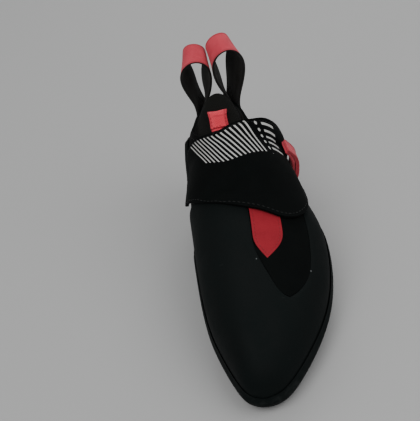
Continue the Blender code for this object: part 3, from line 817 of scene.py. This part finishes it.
def foldSurface(piece, folds):
    # soft troughs with a ridge on each side, along given lines
    mesh = piece.data
    tree = faceTree(mesh, outerFace)
    fixed = set(verticesOf(mesh, (innerFace, rimFace)))
    moved = [i for i in verticesOf(mesh, (outerFace,)) if i not in fixed]
    places = {i: mesh.vertices[i].co.copy() for i in moved}
    normals = {i: mesh.vertices[i].normal.copy() for i in moved}
    count, reach, endPart, endDepth = (foldRules[key] for key in ("samples", "reach", "endPart", "endDepth"))
    for line, width, depth in folds:
        corners = [Vector(point) for point in line]
        samples = []
        for a, b in zip(corners, corners[1:]):
            for n in range(count):
                samples.append(tree.find_nearest(a.lerp(b, n / count))[0])
        near = pointTree(samples)
        for i in moved:
            spot, n, away = near.find(places[i])
            if away < reach * width:
                ease = min(1.0, min(n, len(samples) - 1 - n) / (endPart * len(samples)))
                shape = (away / width) ** 2
                sunk = depth * (endDepth + (1 - endDepth) * ease) * (1 - shape) * math.exp(-shape)
                places[i] = places[i] - normals[i] * sunk
    for i in moved:
        mesh.vertices[i].co = places[i]


# rims: their paths, the distance to them, and rows of stitches inside them
def rimLoops(piece):
    # paths along the edge of the outer face: each point with the centre and normal of the face beside it
    mesh = piece.data
    owners = {}
    for polygon in mesh.polygons:
        for key in polygon.edge_keys:
            owners.setdefault(key, []).append(polygon)
    beside, into = {}, {}
    for key, faces in owners.items():
        outer = [face for face in faces if face.material_index == outerFace]
        if len(faces) == 2 and len(outer) == 1:
            for a, b in (key, key[::-1]):
                beside.setdefault(a, []).append(b)
                into.setdefault(a, outer[0])
    loops = []
    left = set(beside)
    while left:
        path = [min(left)]
        left.discard(path[0])
        while True:
            onward = [i for i in beside[path[-1]] if i in left]
            if not onward:
                break
            path.append(onward[0])
            left.discard(onward[0])
        if len(path) > layerRules["shortestRim"]:
            loops.append([(mesh.vertices[i].co.copy(), into[i].center.copy(), into[i].normal.copy()) for i in path])
    return loops


def noteRimDistance(piece, lowest):
    # the distance of every vertex to the rim above a height, for the tape in the finish
    points = [place for loop in rimLoops(piece) for place, center, normal in loop if place.z > lowest]
    longestStep = 0.004
    middles = [a.lerp(b, 0.5) for a, b in zip(points, points[1:] + points[:1]) if (b - a).length < longestStep]
    near = pointTree(points + middles)
    layer = piece.data.attributes.new("rimAway", "FLOAT", "POINT")
    for vertex in piece.data.vertices:
        layer.data[vertex.index].value = near.find(vertex.co)[2]


def spotsAlong(path, pitch):
    # evenly spaced places on a closed path: a corner, and the share of the way to the next one
    spots, left = [], 0.0
    for n, corner in enumerate(path):
        length = (path[(n + 1) % len(path)] - corner).length
        while left < length:
            spots.append((n, left / length))
            left += pitch
        left -= length
    return spots


def insetRow(loop, tree, s):
    # places and normals on the outer face, at an even distance inside its rim
    row = []
    for n, share in spotsAlong([place for place, center, normal in loop], s["pitch"]):
        place, center, normal = loop[n]
        following, second = loop[(n + 1) % len(loop)][0], loop[(n + 2) % len(loop)][0]
        inward = normal.cross((second - loop[n - 1][0]).normalized())
        if inward.dot(center - place) < 0:
            inward.negate()
        target = place.lerp(following, share) + inward.normalized() * s["inset"]
        row.append(tree.find_nearest(target)[:2])
    return row


def addStitch(bm, ball, start, end, normal, s):
    way = end - start
    along = way.normalized()
    up = (normal - along * normal.dot(along)).normalized()
    axes = Matrix((along * way.length / 2, up.cross(along) * s["thick"] / 2, up * s["high"] / 2))
    shape = axes.transposed().to_4x4()
    shape.translation = (start + end) / 2 + normal * s["high"] * s["lift"]
    ball.transform(shape)
    bm.from_mesh(ball)
    ball.transform(shape.inverted())


def newBall():
    bm = bmesh.new()
    bmesh.ops.create_uvsphere(bm, u_segments=6, v_segments=4, radius=1.0)
    mesh = bpy.data.meshes.new("stitchBall")
    bm.to_mesh(mesh)
    bm.free()
    return mesh


def stitchRims(name, piece, finish, s):
    tree = faceTree(piece.data, outerFace)
    ball = newBall()
    shortest, longest = (share * s["pitch"] for share in s["regular"])
    bm = bmesh.new()
    for loop in rimLoops(piece):
        row = insetRow(loop, tree, s)
        for (a, normalA), (b, normalB) in zip(row, row[1:]):
            if shortest < (b - a).length < longest and a.z > s["lowest"]:
                normal = (normalA + normalB).normalized()
                addStitch(bm, ball, a.lerp(b, s["hidden"]), a.lerp(b, 1 - s["hidden"]), normal, s)
    bpy.data.meshes.remove(ball)
    print(name, len(bm.faces), "faces")
    row = newPiece(name, bm)
    row.data.materials.append(finish)
    row.data.shade_smooth()
    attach(row, "root")


# upper and insides
upperCut = {
    "node": "upper", "slot": "microfibre", "finish": (upperFibre, knit, blackFibre),
    "levels": 2, "rimBevel": 0.0004,
    "tapeFrom": 0.055,  # height above which the rim is the collar's
    # line, half width, depth
    "folds": (
        (((-0.0360, 0.0560, 0.0760), (-0.0385, 0.0480, 0.0660), (-0.0370, 0.0380, 0.0560)), 0.0028, 0.0007),
        (((-0.0340, 0.0680, 0.0680), (-0.0380, 0.0600, 0.0580), (-0.0380, 0.0480, 0.0500)), 0.0030, 0.0006),
        (((0.0140, 0.0700, 0.0700), (0.0190, 0.0600, 0.0620), (0.0240, 0.0480, 0.0560)), 0.0030, 0.0007),
        (((0.0120, 0.0780, 0.0620), (0.0200, 0.0680, 0.0540), (0.0260, 0.0560, 0.0480)), 0.0028, 0.0006),
    ),
}
upper = nodeLayer("lastedUpper", upperCut)
noteRimDistance(upper, upperCut["tapeFrom"])
foldSurface(upper, upperCut["folds"])

insoleCut = {"node": "insole", "slot": "lining", "finish": (knit, knit, knit), "levels": 1}
nodeLayer("slipInsole", insoleCut)

tongueCut = {
    "node": "tongue", "slot": "lining", "finish": (sock, sock, sock), "levels": 3, "rimBevel": 0.0003,
    "reshape": raiseTop, "raised": (0.001, 0.0088, 0.0112), "from": 0.090,
}
nodeLayer("sockTongue", tongueCut)

# rubber
toeCut = {
    "node": "toe_rand", "slot": "rubber", "finish": (patchRubber, rubber, rubber),
    "levels": 2, "rimBevel": 0.0003, "skive": (0.0022, 0.45),  # reach, and share of the thickness left
}
nodeLayer("toeRubber", toeCut)

soleCut = {
    "node": "outsole", "slot": "rubber", "finish": (rubber, rubber, rubber),
    "levels": 3, "skive": (0.0055, 0.12),
}
nodeLayer("halfSole", soleCut)

heelCut = {
    "node": "heel_rand", "slot": "rubber", "finish": (rubber, rubber, rubber),
    "levels": 3, "skive": (0.004, 0.3),
}
nodeLayer("heelRubber", heelCut)

# panels in the V cut-out
vampCut = {
    "node": "vamp_panel", "slot": "microfibre", "finish": (blackFibre, blackFibre, blackFibre), "levels": 3,
    "folds": (
        (((-0.0260, -0.0200, 0.0660), (-0.0060, -0.0260, 0.0680), (0.0160, -0.0240, 0.0620)), 0.0030, 0.0004),
        (((-0.0200, -0.0300, 0.0640), (0.0000, -0.0360, 0.0640), (0.0180, -0.0330, 0.0580)), 0.0026, 0.0004),
    ),
}
vampPanel = nodeLayer("vampPanel", vampCut)
foldSurface(vampPanel, vampCut["folds"])

windowCut = {"node": "window_panel", "slot": "coral_panel", "finish": (redFibre, redFibre, redFibre), "levels": 3}
redWindow = nodeLayer("redWindow", windowCut)

# strap
strapCut = {
    "node": "strap", "slot": "microfibre", "finish": (printedFibre, blackFibre, blackFibre),
    "levels": 3, "rimBevel": 0.0003,
    "folds": (
        (((-0.0400, 0.0480, 0.0740), (-0.0420, 0.0300, 0.0660), (-0.0420, 0.0120, 0.0600)), 0.0032, 0.0005),
        (((-0.0330, -0.0050, 0.0720), (-0.0200, -0.0030, 0.0790), (-0.0050, -0.0060, 0.0810)), 0.0035, 0.0004),
        (((0.0330, 0.0200, 0.0620), (0.0340, 0.0080, 0.0580), (0.0330, -0.0060, 0.0540)), 0.0030, 0.0004),
    ),
}
strap = nodeLayer("instepStrap", strapCut)
foldSurface(strap, strapCut["folds"])

strapTabCut = {
    "node": "strap_pull_tab", "slot": "coral_webbing",
    "finish": (strapTabWebbing, strapTabWebbing, strapTabWebbing), "levels": 2, "rimBevel": 0.0002,
    "gapShare": 0.46, "gapStart": 0.0002, "gapLimit": 0.006,
}
strapTab = nodeLayer("strapPullTab", strapTabCut)
closeGap(strapTab, strapTabCut)

# webbing on tongue and heel
tongueTabCut = {
    "node": "tongue_tab", "slot": "coral_webbing",
    "finish": (tongueTabWebbing, tongueTabWebbing, tongueTabWebbing), "levels": 2, "rimBevel": 0.0002,
    "reshape": straighten, "middle": -0.0118, "widthLow": 0.95, "widthHigh": 0.72,
}
tongueTab = nodeLayer("tongueTab", tongueTabCut)

loopCut = {
    "slot": "coral_webbing", "finish": (redLoopWebbing, blackLoopWebbing, blackLoopWebbing),
    "levels": 3, "rimBevel": 0.0002,
    "reshape": turnLegs,
    "turn": 22,  # degrees
    "spread": 0.009,  # of a leg from the loop's middle
    "seat": 0.091, "turnEasing": 0.010, "widenEasing": 0.018,  # height of the sewn feet, and the way above it
    "archLow": -0.008, "archEasing": 0.014,  # the arch itself doesn't turn
    "archBase": 0.005, "archRadius": 0.0105, "legLength": 0.06,  # for the weave
}
medialLoopCut = {
    **loopCut, "node": "pull_loop_medial", "widen": 0.0012,
    "out": (-1, 0, 0), "front": (0, -0.891, -0.454), "up": (0, -0.259, 0.966),
    "middle": (-0.0215, 0.0869, 0.1217),
}
nodeLayer("medialPullLoop", medialLoopCut)

lateralLoopCut = {
    **loopCut, "node": "pull_loop_lateral", "widen": 0.0026,
    "out": (0.978, 0.208, 0), "front": (0.185, -0.872, -0.454), "up": (0.026, -0.259, 0.966),
    "middle": (-0.0004, 0.0861, 0.1250),
    "footSide": -0.0004, "footTop": 0.112,
}
lateralLoop = nodeLayer("lateralPullLoop", lateralLoopCut)
paintFootShade(lateralLoop, lateralLoopCut)
print("layers built")

# stitches
stitch = {
    "pitch": 0.0030, "inset": 0.0022, "thick": 0.00045, "high": 0.00034,
    "regular": (0.6, 1.5),  # shares of the pitch: other stitches, bunched up in a corner, are left out
    "hidden": 0.12, "lift": 0.15,  # shares of the pitch at each end, and of the height
    "lowest": 0.0,
}
strapStitch = {**stitch, "slot": "microfibre"}
collarStitch = {**stitch, "slot": "microfibre", "inset": 0.0038, "lowest": 0.062}
windowStitch = {**stitch, "slot": "coral_panel", "pitch": 0.0026, "inset": 0.0016}
tabStitch = {**stitch, "slot": "coral_webbing", "pitch": 0.0022, "inset": 0.0013, "thick": 0.00038}
stitchRims("strapStitches", strap, blackThread, strapStitch)
stitchRims("collarStitches", upper, blackThread, collarStitch)
stitchRims("windowStitches", redWindow, redThread, windowStitch)
stitchRims("tongueTabStitches", tongueTab, redThread, tabStitch)
print("stitches made")
